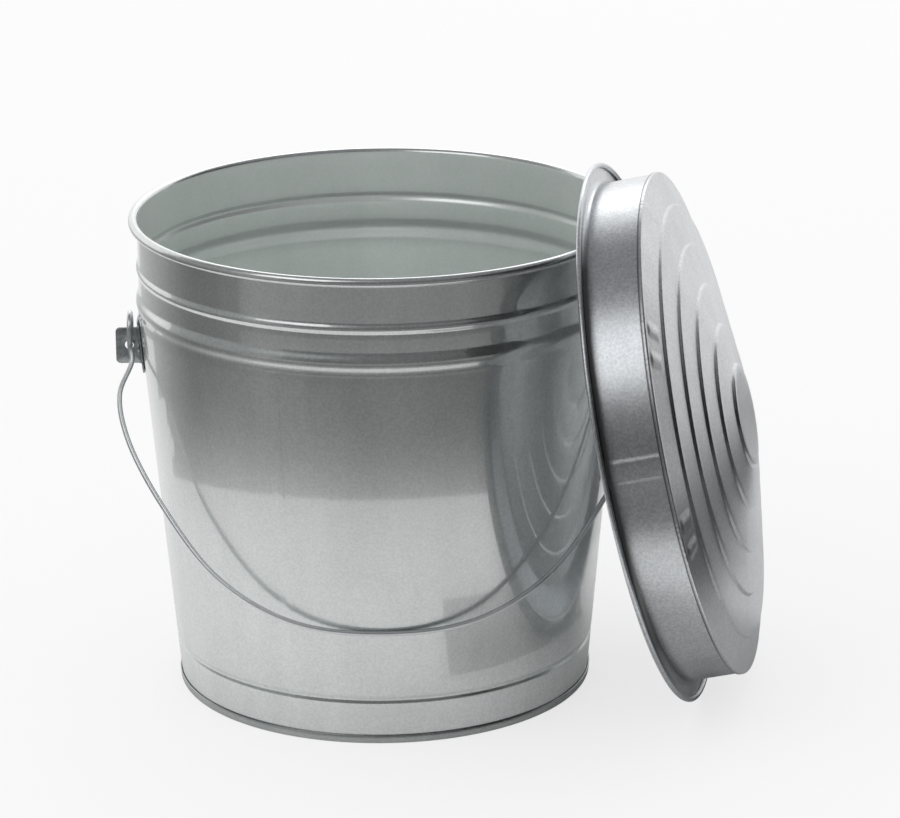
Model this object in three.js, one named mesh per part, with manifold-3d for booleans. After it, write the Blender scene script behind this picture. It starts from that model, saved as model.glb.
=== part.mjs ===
// A small galvanized trash can with its lid off and leaning on it: a tapered can rolled and seamed
// from sheet, a wire bail hooked in two riveted ears, and a stepped lid with its own skirt.
// Millimetres, +Z up. The origin is the centre of the can's base ring, on the floor; the ears are
// on the X axis, the bail hangs to the front (-Y) and the lid leans on the right side (+X).
import * as THREE from 'three';
import { mergeVertices } from 'three/addons/utils/BufferGeometryUtils.js';
import Module from 'manifold-3d';

const wasm = await Module();
wasm.setup();

// ---------------------------------------------------------------- driving dimensions
const sheet = 0.6; // thickness of the can's and the lid's sheet
const clearance = 0.3; // gap left between pieces that touch
const sectors = 40; // flats round each sheet

// can
const canHeight = 288.2; // floor to the top of the rolled rim
const rimRadius = 145; // centreline of the rolled rim
const rimWireDiameter = 3.8;
const baseRadius = 123.3; // outside of the wall where it would meet the floor
const shoulderRadius = 143.6; // outside of the wall at the foot of the lower swage bead
const shoulderBelowRim = 59.2;
const lowerBeadWidth = 15; // the larger bead, and the step in to the neck above it
const lowerBeadRise = 1.5;
const upperBeadBelowRim = 30.6; // middle of the small bead
const upperBeadWidth = 7.2;
const upperBeadRise = 1.2;
const grooveHeight = 27.7; // the pressed ring over the base
const grooveWidth = 6;
const grooveDepth = 0.9;
const wallSeamAngle = 244.7; // degrees from +X: the upright lock seam, left of the front
const wallSeamWidth = 5;
const wallSeamRise = 0.3;

// bottom, a pan whose edge is folded round the wall's lower edge
const panFloorHeight = 9; // middle of the raised bottom sheet
const panBend = 3;
const hemHeight = 4.9; // outside leg of the folded seam

// ears and rivets; heights are from the ear's hole, reaches from the outside of its plate
const earBelowShoulder = 22.2; // the hole, under the foot of the lower bead
const earSheet = 1.2;
const earPlateWidth = 28;
const earPlateHeight = 32;
const earPlateRise = 17.2; // top of the plate
const earPlateCorner = 5;
const tabHeight = 22;
const tabRise = 10.7; // top of the tab
const tabReach = 14.5; // outer edge of the tab
const tabThickness = 1.6; // the sheet doubled
const tabCorner = 2.6;
const tabFillet = 2.2;
const earHoleDiameter = 5.4;
const earHoleReach = 6.5;
const rivetSpacing = 18;
const rivetDiameter = 3;
const rivetHeadDiameter = 6;
const rivetHeadHeight = 1.2;
const rivetTailDiameter = 5.1;
const rivetTailHeight = 0.7;

// bail
const bailWire = 3;
const eyeRadius = 9.7; // of the eye's centreline
const eyeInset = 0.8; // the eye's plane, inwards of the ear's hole
const bailDrop = 195.8; // eye centre to the middle of the bow
const bailArmRoom = 12.8; // from the wall at the ears to the widest part of the bail
const tipReach = 23; // degrees that the wire's end passes the ear's hole

// lid
const lidRoom = 1.3; // all round, between the can's rim and the inside of the skirt
const lidDepth = 34.5; // mouth to the corner seam
const lidFlangeWidth = 11.4; // from the skirt to the centreline of the rolled edge
const lidRoll = 1.2; // radius of the roll, to the middle of the sheet
const lidBend = 1.2;
const lidLipHeight = 3.4; // the disc's edge, folded down over the skirt
const lidLipBend = 1.2;
const lidCentreRise = 27; // the middle of the disc above the corner seam
const lidCentreRadius = 30.6; // the flat centre
const lidSteps = 5; // rings pressed round the centre
const lidLandWidth = 19.9; // from the outermost pressed ring to the skirt
const lidRiser = 1.7; // height of each pressed step
const lidRiserRun = 2.6;
const lidLandRise = 5.7; // corner seam to the foot of the outermost step
const lidRibs = 8; // short radial ribs on the outer land
const lidRibPhase = 18; // degrees from the skirt's seam to the first rib
const lidRibWidth = 13;
const lidRibRise = 0.9;
const lidSeamAngle = 260.9; // degrees: the skirt's lap seam
const lidSeamWidth = 11;
const lidSeamRise = 1;
const lidLean = 12.8; // degrees that the lid's axis points up as it leans
const lidTurn = -10.7; // degrees from +X to where it leans

const radians = THREE.MathUtils.degToRad;
const shoulderHeight = canHeight - shoulderBelowRim;
const wallTaper = Math.atan((shoulderRadius - baseRadius) / shoulderHeight);

// outside radius of the plain cone of the wall
function wallRadius(height) {
  return baseRadius + height * Math.tan(wallTaper);
}

// ---------------------------------------------------------------- sheet and wire
const point = (r, z) => new THREE.Vector2(r, z);

function arc(centre, radius, from, to, steps) {
  return Array.from({ length: steps + 1 }, (_, i) => {
    const angle = radians(from + ((to - from) * i) / steps);
    return point(centre.x + radius * Math.cos(angle), centre.y + radius * Math.sin(angle));
  });
}

// A line down the middle of a sheet, thickened to a closed outline. A line that starts on the
// axis gives an outline with both ends on the axis.
function thickened(line, thickness) {
  const side = (i, sign) => {
    const before = line[Math.max(i - 1, 0)];
    const after = line[Math.min(i + 1, line.length - 1)];
    const into = line[i].clone().sub(before).normalize();
    const out = after.clone().sub(line[i]).normalize();
    const along = into.add(out).normalize();
    const bend = Math.max(along.dot(out.lengthSq() ? out : into), 0.5);
    const reach = (sign * thickness) / 2 / (i === 0 || i === line.length - 1 ? 1 : bend);
    return point(line[i].x - along.y * reach, line[i].y + along.x * reach);
  };
  const left = line.map((_, i) => side(i, 1));
  const right = line.map((_, i) => side(i, -1)).reverse();
  if (line[0].x === 0) {
    left[0].x = 0;
    right[right.length - 1].x = 0;
    return [...left, ...right];
  }
  return [...left, ...right, left[0]];
}

// Merged and welded, with the empty triangles on a turning axis left out.
function welded(geometry) {
  const bare = geometry.clone();
  bare.deleteAttribute('normal');
  bare.deleteAttribute('uv');
  const merged = mergeVertices(bare, 1e-4);
  const index = merged.index.array;
  const kept = [];
  for (let i = 0; i < index.length; i += 3) {
    const [a, b, c] = [index[i], index[i + 1], index[i + 2]];
    if (a !== b && b !== c && c !== a) kept.push(a, b, c);
  }
  merged.setIndex(kept);
  return merged;
}

// A turned sheet of even flats, the middle of one of them at the given angle. Where a seam or a
// rib is pressed out of it, more edges stand on the flats and are moved outwards or upwards.
function turned(profile, flats, features = [], pressed = () => [0, 0]) {
  const outline = THREE.ShapeUtils.area(profile) < 0 ? [...profile].reverse() : profile;
  const step = 360 / flats.count;
  const corners = Array.from({ length: flats.count }, (_, i) => flats.middle + (i + 0.5) * step);
  const edges = features.flatMap(({ at, half, ramp }) => [-half - ramp, -half, half, half + ramp]
    .map((offset) => at + offset));
  const angles = [...corners, ...edges].map((a) => ((a % 360) + 360) % 360).sort((a, b) => a - b);
  const lathe = new THREE.LatheGeometry(outline, angles.length);
  const position = lathe.attributes.position;
  for (let i = 0; i <= angles.length; i += 1) {
    const angle = angles[i % angles.length];
    const fromMiddle = ((angle - flats.middle + 360.5 * step) % step) - step / 2;
    const onFlat = Math.cos(radians(step / 2)) / Math.cos(radians(fromMiddle));
    outline.forEach(({ x, y }, j) => {
      const [outward, upward] = x === 0 ? [0, 0] : pressed(angle, x, y);
      const r = (x + outward) * onFlat;
      const turn = radians(angle);
      position.setXYZ(i * outline.length + j, r * Math.cos(turn), r * Math.sin(turn), y + upward);
    });
  }
  return welded(lathe);
}

function feature(at, width, radius, ramp) {
  const half = THREE.MathUtils.radToDeg(width / 2 / radius);
  return { at, half, ramp: THREE.MathUtils.radToDeg(ramp / radius) };
}

const within = (angle, f) => Math.abs(((angle - f.at + 540) % 360) - 180) < f.half + f.ramp / 2;
const canFlats = { count: sectors, middle: 0 };
const flatShare = Math.cos(Math.PI / sectors); // a flat's middle, as a share of its corners' radius

function solidOf(geometry) {
  const { index, attributes } = welded(geometry);
  return new wasm.Manifold(new wasm.Mesh({
    numProp: 3,
    vertProperties: Float32Array.from(attributes.position.array),
    triVerts: Uint32Array.from(index.array),
  }));
}

function geometryOf(solid) {
  const { vertProperties, triVerts } = solid.getMesh();
  const geometry = new THREE.BufferGeometry();
  geometry.setAttribute('position', new THREE.BufferAttribute(vertProperties, 3));
  geometry.setIndex(new THREE.BufferAttribute(triVerts, 1));
  return geometry;
}

const galvanized = (colour, roughness) => new THREE.MeshStandardMaterial({
  color: colour, roughness, metalness: 1, flatShading: true,
});
const wallSteel = galvanized(0xaeb4b3, 0.34);
const panSteel = galvanized(0x9da3a3, 0.4);
const lidSteel = galvanized(0xb4b7ba, 0.3);
const earSteel = galvanized(0x8c9191, 0.42);
const wireSteel = galvanized(0xb9bdbc, 0.25);
const rivetSteel = galvanized(0xa5a9a8, 0.35);

const assembly = new THREE.Group();

function add(parent, name, geometry, material) {
  const mesh = new THREE.Mesh(geometry, material);
  mesh.name = name;
  parent.add(mesh);
  return mesh;
}

// ---------------------------------------------------------------- rolled rim and its wire
const curlRadius = rimWireDiameter / 2 + clearance + sheet / 2; // to the middle of the sheet
const rimOutside = curlRadius + sheet / 2; // radius of the whole roll
const rimCentre = point(rimRadius, canHeight - rimOutside);
const neckRadius = rimRadius - curlRadius; // middle of the straight neck under the rim
const rimWireSection = arc(rimCentre, rimWireDiameter / 2, 0, 360, 6);
rimWireSection[6] = rimWireSection[0];
add(assembly, 'rim_wire', turned(rimWireSection, canFlats), wireSteel);

// ---------------------------------------------------------------- folded seam at the base
// The pan's U is three flats round the wall's edge, so that it stands on a flat ring.
const foldRadius = sheet + clearance; // middle of the U, from the middle of the wall
const foldHeight = foldRadius * Math.cos(radians(30)) + sheet / 2;
const wallMiddle = (height) => wallRadius(height) - sheet / 2;
const fold = point(wallMiddle(foldHeight), foldHeight);

// ---------------------------------------------------------------- wall of the can
// A bead, or with a negative rise a groove: a raised cosine on the line between its feet.
function bead(from, to, rise, steps) {
  return Array.from({ length: steps + 1 }, (_, i) => {
    const share = i / steps;
    const lift = (rise * (1 - Math.cos(2 * Math.PI * share))) / 2;
    return point(from.x + (to.x - from.x) * share + lift, from.y + (to.y - from.y) * share);
  });
}

const onWall = (height) => point(wallMiddle(height), height);
const neckFoot = shoulderHeight + lowerBeadWidth;
const upperBeadHeight = canHeight - upperBeadBelowRim;
const wallLine = [
  fold,
  ...bead(onWall(grooveHeight - grooveWidth / 2), onWall(grooveHeight + grooveWidth / 2),
    -grooveDepth, 3),
  ...bead(onWall(shoulderHeight), point(neckRadius, neckFoot), lowerBeadRise, 4),
  ...bead(point(neckRadius, upperBeadHeight - upperBeadWidth / 2),
    point(neckRadius, upperBeadHeight + upperBeadWidth / 2), upperBeadRise, 4),
  ...arc(rimCentre, curlRadius, 180, -110, 7),
];

const wallSeam = feature(wallSeamAngle, wallSeamWidth, shoulderRadius, 1);
const seamed = (angle, radius, height) => {
  const onSeam = within(angle, wallSeam) && height > hemHeight && height < shoulderHeight + 1;
  return [onSeam ? wallSeamRise : 0, 0];
};
const wallShell = solidOf(turned(thickened(wallLine, sheet), canFlats, [wallSeam], seamed));

// ---------------------------------------------------------------- rivets, two through each ear
// Each stands square to the sloping flat, at half the spacing to either side of the tab.
const earHoleHeight = shoulderHeight - earBelowShoulder;
const earPlateTop = earHoleHeight + earPlateRise;
const earPlateFoot = earPlateTop - earPlateHeight;
const earMiddle = (earPlateTop + earPlateFoot) / 2;
const plateOutside = (clearance + earSheet) / Math.cos(wallTaper);
const earReach = wallRadius(earHoleHeight) + plateOutside;
const wallFlat = (height, outward = 0) => (wallRadius(height) + outward) * flatShare;

function rivetPlace(side, sign) {
  const place = new THREE.Matrix4();
  const across = (side * sign * rivetSpacing) / 2;
  if (side < 0) place.makeRotationZ(Math.PI);
  place.multiply(new THREE.Matrix4().makeTranslation(wallFlat(earMiddle), across, earMiddle));
  place.multiply(new THREE.Matrix4().makeRotationY(Math.PI / 2 + wallTaper));
  return place;
}

// along its axis, 0 is the outside of the wall
function rivet() {
  const shank = rivetDiameter / 2;
  const head = rivetHeadDiameter / 2;
  const tail = rivetTailDiameter / 2;
  const seat = clearance * 2 + earSheet;
  const inside = -sheet - clearance;
  const outline = [
    point(0, inside - rivetTailHeight),
    point(tail, inside - rivetTailHeight),
    point(tail, inside),
    point(shank, inside),
    point(shank, seat),
    point(head, seat),
    point(head * 0.8, seat + rivetHeadHeight * 0.65),
    point(0, seat + rivetHeadHeight),
  ];
  return turned(outline, { count: 8, middle: 0 });
}

function rivetHole(place) {
  const drill = new THREE.CylinderGeometry(rivetDiameter / 2 + clearance,
    rivetDiameter / 2 + clearance, 4 * (earSheet + sheet), 12);
  drill.rotateX(Math.PI / 2);
  drill.applyMatrix4(place);
  return solidOf(drill);
}

const rivets = [
  ['ear_left_rivet_front', -1, -1], ['ear_left_rivet_back', -1, 1],
  ['ear_right_rivet_front', 1, -1], ['ear_right_rivet_back', 1, 1],
].map(([name, side, sign]) => ({ name, side, place: rivetPlace(side, sign) }));

let drilledWall = wallShell;
for (const { name, place } of rivets) {
  drilledWall = drilledWall.subtract(rivetHole(place));
  add(assembly, name, rivet().applyMatrix4(place), rivetSteel);
}
add(assembly, 'body_wall', geometryOf(drilledWall), wallSteel);

// ---------------------------------------------------------------- bottom pan
const innerLeg = (height) => wallMiddle(height) - foldRadius;
const bendTop = panFloorHeight - panBend;
const bendCentre = point(innerLeg(bendTop) - panBend, bendTop);
const panLine = [
  point(0, panFloorHeight),
  ...arc(bendCentre, panBend, 90, 0, 2),
  ...arc(fold, foldRadius, 180, 360, 3),
  point(wallMiddle(hemHeight) + foldRadius, hemHeight),
];
add(assembly, 'bottom_pan', turned(thickened(panLine, sheet), canFlats), panSteel);

// ---------------------------------------------------------------- ears
const earHoleFromAxis = earReach + earHoleReach;
const tabTop = earHoleHeight + tabRise;
const tabFoot = tabTop - tabHeight;
const tabEnd = earReach + tabReach;

// A plate bent to the wall, with a doubled tab standing out of its middle.
function ear(side) {
  const inner = (height) => wallRadius(height) + clearance / Math.cos(wallTaper);
  const outer = (height) => wallRadius(height) + plateOutside;
  const ring = [
    point(inner(earPlateFoot), earPlateFoot), point(outer(earPlateFoot), earPlateFoot),
    point(outer(earPlateTop), earPlateTop), point(inner(earPlateTop), earPlateTop),
  ];
  const band = turned([...ring, ring[0]], canFlats);

  const half = earPlateWidth / 2;
  const corner = earPlateCorner;
  const face = new THREE.Shape();
  face.moveTo(-half + corner, earPlateFoot);
  face.absarc(half - corner, earPlateFoot + corner, corner, -Math.PI / 2, 0);
  face.absarc(half - corner, earPlateTop - corner, corner, 0, Math.PI / 2);
  face.absarc(-half + corner, earPlateTop - corner, corner, Math.PI / 2, Math.PI);
  face.absarc(-half + corner, earPlateFoot + corner, corner, Math.PI, 1.5 * Math.PI);
  const punch = new THREE.ExtrudeGeometry(face, { depth: tabEnd, bevelEnabled: false,
    curveSegments: 3 });
  punch.rotateX(Math.PI / 2);
  punch.rotateZ(Math.PI / 2);

  // the tab's inner edge is kept inside the plate's thickness
  const tab = new THREE.Shape();
  const start = (height) => wallFlat(height, clearance + earSheet / 2);
  tab.moveTo(start(tabFoot), tabFoot);
  tab.lineTo(tabEnd - tabCorner, tabFoot);
  tab.absarc(tabEnd - tabCorner, tabFoot + tabCorner, tabCorner, -Math.PI / 2, 0);
  tab.absarc(tabEnd - tabCorner, tabTop - tabCorner, tabCorner, 0, Math.PI / 2);
  tab.lineTo(start(tabTop), tabTop);
  const hole = new THREE.Path();
  hole.absarc(earHoleFromAxis, earHoleHeight, earHoleDiameter / 2, 0, 2 * Math.PI, true);
  tab.holes.push(hole);
  const plate = new THREE.ExtrudeGeometry(tab, { depth: tabThickness, bevelEnabled: false,
    curveSegments: 8 });
  plate.rotateX(Math.PI / 2);
  plate.translate(0, tabThickness / 2, 0);

  const web = new THREE.Shape();
  const foot = earSheet / 2;
  web.moveTo(-foot, -tabThickness / 2 - tabFillet);
  web.lineTo(0, -tabThickness / 2 - tabFillet);
  web.absarc(tabFillet, -tabThickness / 2 - tabFillet, tabFillet, Math.PI, Math.PI / 2, true);
  web.absarc(tabFillet, tabThickness / 2 + tabFillet, tabFillet, 1.5 * Math.PI, Math.PI, true);
  web.lineTo(-foot, tabThickness / 2 + tabFillet);
  const fillet = new THREE.ExtrudeGeometry(web, { depth: tabHeight - 2 * clearance,
    bevelEnabled: false, curveSegments: 3 });
  fillet.rotateY(wallTaper);
  fillet.translate(wallFlat(tabFoot, plateOutside), 0, tabFoot + clearance);

  let solid = solidOf(band).intersect(solidOf(punch)).add(solidOf(plate)).add(solidOf(fillet));
  if (side < 0) solid = solid.rotate([0, 0, 180]);
  for (const each of rivets) {
    if (each.side === side) solid = solid.subtract(rivetHole(each.place));
  }
  return geometryOf(solid);
}
add(assembly, 'ear_left', ear(-1), earSteel);
add(assembly, 'ear_right', ear(1), earSteel);

// ---------------------------------------------------------------- bail
// The eye turns about a point straight over the ear's hole, so its round stays in the hole.
const hingeHeight = earHoleHeight + eyeRadius;

// The angle from straight down at which the bow comes to rest on the front of the wall.
function bailRest() {
  let low = 0;
  let high = Math.PI / 2;
  for (let i = 0; i < 50; i += 1) {
    const angle = (low + high) / 2;
    const reach = bailDrop * Math.sin(angle);
    const wall = wallRadius(hingeHeight - bailDrop * Math.cos(angle));
    const room = bailWire / 2 + clearance;
    if (reach < wall + room) low = angle;
    else high = angle;
  }
  return high;
}
const restAngle = bailRest();

// Half of the bow, as it hangs straight down from the hinge: shares of the shoulder's half width
// and of the drop, from the middle up to the arm beside the eye.
const bowShape = [
  [0, 1], [0.34, 0.9615], [0.614, 0.824], [0.8335, 0.583], [0.9705, 0.3575], [1, 0.215],
  [0.955, 0.105],
];
const bailShoulder = wallRadius(earHoleHeight) + bailArmRoom;
const eyeFromAxis = earHoleFromAxis - eyeInset;
const bowSide = bowShape.map(([across, down]) => new THREE.Vector3(
  across * bailShoulder, 0, -down * bailDrop));
const bow = new THREE.CatmullRomCurve3([
  new THREE.Vector3(-bowSide[1].x, 0, bowSide[1].z), ...bowSide]);
const bowPoints = bow.getSpacedPoints(32).filter((p) => p.x > bailWire);

// The eye, from where the arm leaves it at its front, over the top, down behind the tab and
// through the hole from behind.
const leave = Math.PI / 2 - restAngle;
const tip = 2 * Math.PI - restAngle + radians(tipReach);
const eyeSteps = 15;
const eye = Array.from({ length: eyeSteps + 1 }, (_, i) => {
  const angle = leave + ((tip - leave) * i) / eyeSteps;
  return new THREE.Vector3(eyeFromAxis, -eyeRadius * Math.sin(angle), -eyeRadius * Math.cos(angle));
});
const arm = [0.3, 0.62].map((share) => new THREE.Vector3(
  eyeFromAxis,
  -eyeRadius * Math.sin(leave) * share,
  -eyeRadius * (Math.cos(leave) + (1 - share) * Math.sin(leave) * Math.tan(leave)),
));
const halfWire = [...bowPoints, ...arm, ...eye];
const mirrored = halfWire.map((p) => new THREE.Vector3(-p.x, p.y, p.z)).reverse();

// a curve stepped by its own points, so the small eyes get as many steps as they need
class WirePath extends THREE.CatmullRomCurve3 {
  getSpacedPoints(steps) {
    return this.getPoints(steps);
  }

  getTangentAt(share, target) {
    return this.getTangent(share, target);
  }
}

const wirePoints = [...mirrored, new THREE.Vector3(0, 0, -bailDrop), ...halfWire];
const wireSection = new THREE.Shape().absarc(0, 0, bailWire / 2, 0, 2 * Math.PI);
const bail = new THREE.ExtrudeGeometry(wireSection, {
  steps: wirePoints.length - 1,
  curveSegments: 4,
  extrudePath: new WirePath(wirePoints),
});
const bailMesh = add(assembly, 'bail', welded(bail), wireSteel);
bailMesh.rotation.x = -restAngle;
bailMesh.position.z = hingeHeight;

// ---------------------------------------------------------------- lid
// Its own axis is +Z here, with the mouth at 0; the group leans it afterwards.
const lid = new THREE.Group();
const lidFlats = { count: sectors, middle: lidSeamAngle };
const lidSkirtRadius = rimRadius + rimOutside + lidRoom + sheet / 2; // middle of the sheet
const lidFlangeRadius = lidSkirtRadius + lidFlangeWidth;
const skirtTop = lidDepth - sheet / 2 - clearance;
const lipRadius = lidSkirtRadius + sheet + clearance;
const rollCentre = point(lidFlangeRadius, sheet / 2 + lidRoll);
const lapFoot = lidBend + lidSeamRise + sheet;
const lapTop = lidDepth - lidLipHeight - lidSeamRise - clearance;
const skirtLine = [
  ...arc(rollCentre, lidRoll, 200, -90, 5),
  ...arc(point(lidSkirtRadius + lidBend, sheet / 2 + lidBend), lidBend, 270, 180, 2),
  point(lidSkirtRadius, lapFoot),
  point(lidSkirtRadius, lapTop),
  point(lidSkirtRadius, lapTop + lidSeamRise),
  point(lidSkirtRadius, skirtTop),
];
const lidSeam = feature(lidSeamAngle, lidSeamWidth, lidSkirtRadius, 0.8);
const lapped = (angle, radius, height) => {
  const onSkirt = height > lapFoot - sheet && height < lapTop + sheet && radius < lipRadius;
  return [within(angle, lidSeam) && onSkirt ? lidSeamRise : 0, 0];
};
add(lid, 'lid_skirt', turned(thickened(skirtLine, sheet), lidFlats, [lidSeam], lapped), lidSteel);

// the disc: flat centre, pressed steps, sloping land with radial ribs, lip folded over the skirt
const lidOuterRing = lidSkirtRadius - lidLandWidth;
const stepPitch = (lidOuterRing - lidCentreRadius) / (lidSteps - 1);
const stepFall = (lidCentreRise - lidLandRise - lidRiser) / (lidSteps - 1);
const centreHeight = lidDepth + lidCentreRise;
const discLine = [point(0, centreHeight)];
for (let i = 0; i < lidSteps; i += 1) {
  const radius = lidCentreRadius + i * stepPitch;
  const height = centreHeight - i * stepFall;
  discLine.push(point(radius - lidRiserRun / 2, height));
  discLine.push(point(radius + lidRiserRun / 2, height - lidRiser));
}
discLine.push(
  point(lipRadius - lidLipBend, lidDepth + sheet),
  point(lipRadius, lidDepth - sheet),
  point(lipRadius, lidDepth - lidLipHeight),
);

const ribs = Array.from({ length: lidRibs }, (_, i) => feature(
  lidSeamAngle + lidRibPhase + (i * 360) / lidRibs, lidRibWidth,
  (lidOuterRing + lidSkirtRadius) / 2, 1));
const ribbed = (angle, radius, height) => {
  const onLand = radius > lidOuterRing + lidRiserRun && radius < lipRadius - sheet
    && height > lidDepth;
  return [0, onLand && ribs.some((rib) => within(angle, rib)) ? lidRibRise : 0];
};
add(lid, 'lid_disc', turned(thickened(discLine, sheet), lidFlats, ribs, ribbed), lidSteel);

// It leans with its rolled edge on the floor and its skirt against the can's rim.
const lean = radians(lidLean);
const beadOutside = lidRoll + sheet / 2;
const mouthHeight = lidFlangeRadius * flatShare * Math.cos(lean) - rollCentre.y * Math.sin(lean)
  + beadOutside;

// Least room between the can's rolled rim and the inside of the skirt, with the mouth's centre
// this far out: each point of the roll that is inside the mouth is taken from the lid's axis.
function rimRoom(distance) {
  const roll = arc(rimCentre, rimOutside, 0, 360, 24);
  let least = Infinity;
  for (let turn = 0; turn <= 60; turn += 0.5) {
    for (const around of roll) {
      const x = around.x * Math.cos(radians(turn)) - distance;
      const y = around.x * Math.sin(radians(turn));
      const z = around.y - mouthHeight;
      const inward = x * Math.cos(lean) + z * Math.sin(lean);
      const fromAxis = Math.sqrt(x * x + y * y + z * z - inward * inward);
      if (inward > 0) least = Math.min(least, lidSkirtRadius - sheet / 2 - fromAxis);
    }
  }
  return least;
}

function leaningDistance() {
  let near = rimRadius / 2;
  let far = rimRadius * 2;
  for (let i = 0; i < 40; i += 1) {
    const middle = (near + far) / 2;
    if (rimRoom(middle) < clearance) near = middle;
    else far = middle;
  }
  return far;
}

lid.rotation.y = Math.PI / 2 - lean;
lid.position.set(leaningDistance(), 0, mouthHeight);
const leaning = new THREE.Group();
leaning.rotation.z = radians(lidTurn);
leaning.add(lid);
assembly.add(leaning);

export default assembly;
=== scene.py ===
import math

import bpy
import numpy as np
from mathutils import Matrix, Vector, noise


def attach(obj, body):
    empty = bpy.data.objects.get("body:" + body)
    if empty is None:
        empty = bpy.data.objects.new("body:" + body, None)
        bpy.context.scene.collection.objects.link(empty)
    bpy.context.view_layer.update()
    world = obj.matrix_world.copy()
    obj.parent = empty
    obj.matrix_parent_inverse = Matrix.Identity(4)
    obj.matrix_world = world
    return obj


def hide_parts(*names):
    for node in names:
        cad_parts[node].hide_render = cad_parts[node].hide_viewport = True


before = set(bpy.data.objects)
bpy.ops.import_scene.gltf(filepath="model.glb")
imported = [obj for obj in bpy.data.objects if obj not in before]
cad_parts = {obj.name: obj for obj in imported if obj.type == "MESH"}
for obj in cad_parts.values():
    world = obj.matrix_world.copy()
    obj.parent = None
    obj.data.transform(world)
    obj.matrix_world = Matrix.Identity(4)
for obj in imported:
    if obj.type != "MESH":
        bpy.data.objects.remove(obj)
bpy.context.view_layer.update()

# ------------------------------------------------------------------------------------------
# Wall of the can. One sheet of galvanized steel 0.6 mm thick, rolled to a cone and closed by an
# upright lock seam; a ring is pressed over the base and two beads under the neck, and its upper
# edge is rolled outwards over a wire. All lengths below are in millimetres.
# ------------------------------------------------------------------------------------------
mm = 0.001
sheet = 0.6
can_height = 288.2
rim_radius = 145.0
base_radius = 123.3
shoulder_radius = 143.6
shoulder_height = 229.0
curl_radius = 2.5
curl_height = can_height - 2.8
neck_radius = rim_radius - curl_radius
wall_foot = 1.35
groove_low = 24.7
groove_high = 30.7
groove_depth = 0.9
lower_bead_top = 244
lower_bead_rise = 1.5
upper_bead_low = 254
upper_bead_top = 261.2
upper_bead_rise = 1.2
curl_end = -110
wall_seam_angle = 244.7
seam_half = 0.85
seam_slope = 0.3
seam_rise = 0.1
around_wall = 288


def wall_outside(height):
    return base_radius + height * (shoulder_radius - base_radius) / shoulder_height


def wall_middle(height):
    return wall_outside(height) - sheet / 2


def arc_points(r, z, radius, start, end, steps):
    return [(r + radius * math.cos(math.radians(start + (end - start) * i / steps)),
             z + radius * math.sin(math.radians(start + (end - start) * i / steps)))
            for i in range(steps + 1)]


def pressed_ring(low, high, rise, steps, skew=1.0):
    """A raised cosine on the straight line between its two feet."""
    points = []
    for i in range(steps + 1):
        share = i / steps
        lift = rise * (1 - math.cos(2 * math.pi * share ** skew)) / 2
        points.append((low[0] + (high[0] - low[0]) * share + lift,
                       low[1] + (high[1] - low[1]) * share))
    return points


def straight(low, high, steps):
    return [(low[0] + (high[0] - low[0]) * i / steps, low[1] + (high[1] - low[1]) * i / steps)
            for i in range(steps + 1)]


def sheet_section(line, thickness):
    """The outline of a sheet that follows this line, with its two edges rounded off."""
    clean = [line[0]]
    for p in line[1:]:
        if math.dist(p, clean[-1]) > 0.02:
            clean.append(p)
    points = np.array(clean, float)
    ahead = np.diff(points, axis=0)
    ahead /= np.linalg.norm(ahead, axis=1)[:, None]
    along = np.vstack([ahead[:1], ahead[:-1] + ahead[1:], ahead[-1:]])
    along /= np.linalg.norm(along, axis=1)[:, None]
    across = np.stack([-along[:, 1], along[:, 0]], axis=1) * thickness / 2
    left = points + across
    right = points - across
    start_on_axis = points[0, 0] == 0
    if start_on_axis:
        left[0, 0] = right[0, 0] = 0
    outline = [tuple(p) for p in left]
    outline.append(tuple(points[-1] + along[-1] * thickness * 0.42))
    outline += [tuple(p) for p in right[::-1]]
    if not start_on_axis:
        outline.append(tuple(points[0] - along[0] * thickness * 0.42))
    return outline


def turned(name, outline, angles, pressed=None):
    """Turns a closed outline about Z through the given angles; pressed(angle, r, z) moves a
    point of the sheet outwards and upwards."""
    vertices = []
    faces = []
    rings = []
    count = len(angles)
    for r, z in outline:
        if r == 0:
            rings.append([len(vertices)] * count)
            vertices.append((0, 0, z * mm))
            continue
        rings.append(list(range(len(vertices), len(vertices) + count)))
        for angle in angles:
            out, up = pressed(angle, r, z) if pressed else (0, 0)
            turn = math.radians(angle)
            vertices.append(((r + out) * mm * math.cos(turn), (r + out) * mm * math.sin(turn),
                             (z + up) * mm))
    open_on_axis = outline[0][0] == 0
    last = len(outline) - 1 if open_on_axis else len(outline)
    for k in range(last):
        low = rings[k]
        high = rings[(k + 1) % len(outline)]
        for i in range(count):
            j = (i + 1) % count
            corners = []
            for v in (low[i], low[j], high[j], high[i]):
                if v not in corners:
                    corners.append(v)
            if len(corners) > 2:
                faces.append(corners)
    return piece(name, vertices, faces)


def piece(name, vertices, faces):
    mesh = bpy.data.meshes.new(name)
    mesh.from_pydata([tuple(v) for v in vertices], [], faces)
    mesh.validate()
    area = 0.0
    for polygon in mesh.polygons:
        area += polygon.normal.dot(polygon.center - Vector(vertices[0])) * polygon.area
    if area < 0:
        mesh.flip_normals()
    mesh.polygons.foreach_set("use_smooth", [True] * len(mesh.polygons))
    thing = bpy.data.objects.new(name, mesh)
    bpy.context.scene.collection.objects.link(thing)
    return thing


def around(count, extra=()):
    even = [i * 360 / count for i in range(count)]
    return sorted({round(a % 360, 4) for a in even + list(extra)})


def away(angle, middle):
    return (angle - middle + 540) % 360 - 180


def ramp(distance, half, slope):
    """1 within half of the middle, falling smoothly to 0 over the slope beyond it."""
    share = min(max((half + slope - abs(distance)) / slope, 0), 1)
    return share * share * (3 - 2 * share)


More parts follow.
